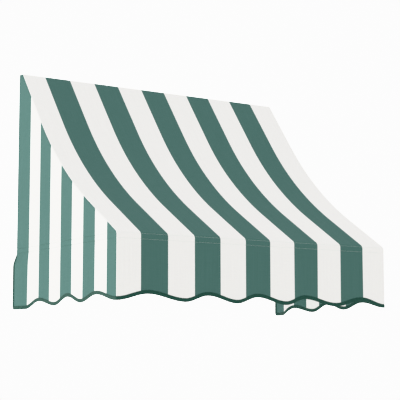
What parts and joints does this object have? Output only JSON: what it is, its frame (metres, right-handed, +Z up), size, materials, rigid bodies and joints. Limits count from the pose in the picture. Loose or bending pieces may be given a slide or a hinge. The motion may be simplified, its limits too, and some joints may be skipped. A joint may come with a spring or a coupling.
{
  "type": "window awning",
  "caption": "Fixed window awning: a bent tube frame under a striped canvas cover with closed sides and a scalloped valance.",
  "frame": {"origin": "on the back face of the middle head bracket, which lies on the wall, midway between its two screw holes", "axes": "+X along the wall to the right as seen from the front, +Y into the wall, +Z up; the wall is the plane y = 0"},
  "size_m": [1.076, 0.6499, 0.7854],
  "materials": {
    "striped_canvas": "woven acrylic canvas in even green and white stripes",
    "binding_tape": "dark green woven binding tape, sewn",
    "hook_and_loop_strap": "white hook-and-loop webbing",
    "powder_coated_steel": "satin white powder coat",
    "cast_aluminium": "as cast, lightly tumbled",
    "zinc_plated_steel": "bright zinc plate"
  },
  "bodies": {
    "root": {"edge_binding": "binding_tape", "front_bar": "powder_coated_steel", "front_bar_screw_left": "zinc_plated_steel", "front_bar_screw_right": "zinc_plated_steel", "front_corner_left": "cast_aluminium", "front_corner_right": "cast_aluminium", "front_strap": "hook_and_loop_strap", "head_bracket_left": "zinc_plated_steel", "head_bracket_left_screw": "zinc_plated_steel", "head_bracket_middle": "zinc_plated_steel", "head_bracket_middle_screw": "zinc_plated_steel", "head_bracket_right": "zinc_plated_steel", "head_bracket_right_screw": "zinc_plated_steel", "head_corner_left": "cast_aluminium", "head_corner_right": "cast_aluminium", "head_rail": "powder_coated_steel", "head_rail_screw_left": "zinc_plated_steel", "head_rail_screw_right": "zinc_plated_steel", "head_strap_left": "hook_and_loop_strap", "head_strap_right": "hook_and_loop_strap", "post_bracket_left": "zinc_plated_steel", "post_bracket_left_screw": "zinc_plated_steel", "post_bracket_right": "zinc_plated_steel", "post_bracket_right_screw": "zinc_plated_steel", "rafter_left": "powder_coated_steel", "rafter_lower_screw_left": "zinc_plated_steel", "rafter_lower_screw_right": "zinc_plated_steel", "rafter_right": "powder_coated_steel", "rafter_strap_left": "hook_and_loop_strap", "rafter_strap_right": "hook_and_loop_strap", "rafter_upper_screw_left": "zinc_plated_steel", "rafter_upper_screw_right": "zinc_plated_steel", "roof_cover": "striped_canvas", "side_cover_left": "striped_canvas", "side_cover_right": "striped_canvas", "side_rail_front_screw_left": "zinc_plated_steel", "side_rail_front_screw_right": "zinc_plated_steel", "side_rail_left": "powder_coated_steel", "side_rail_rear_screw_left": "zinc_plated_steel", "side_rail_rear_screw_right": "zinc_plated_steel", "side_rail_right": "powder_coated_steel", "side_rail_strap_left": "hook_and_loop_strap", "side_rail_strap_right": "hook_and_loop_strap", "wall_corner_left": "cast_aluminium", "wall_corner_right": "cast_aluminium", "wall_post_left": "powder_coated_steel", "wall_post_lower_screw_left": "zinc_plated_steel", "wall_post_lower_screw_right": "zinc_plated_steel", "wall_post_right": "powder_coated_steel", "wall_post_strap_left": "hook_and_loop_strap", "wall_post_strap_right": "hook_and_loop_strap", "wall_post_upper_screw_left": "zinc_plated_steel", "wall_post_upper_screw_right": "zinc_plated_steel"}
  },
  "joints": []
}
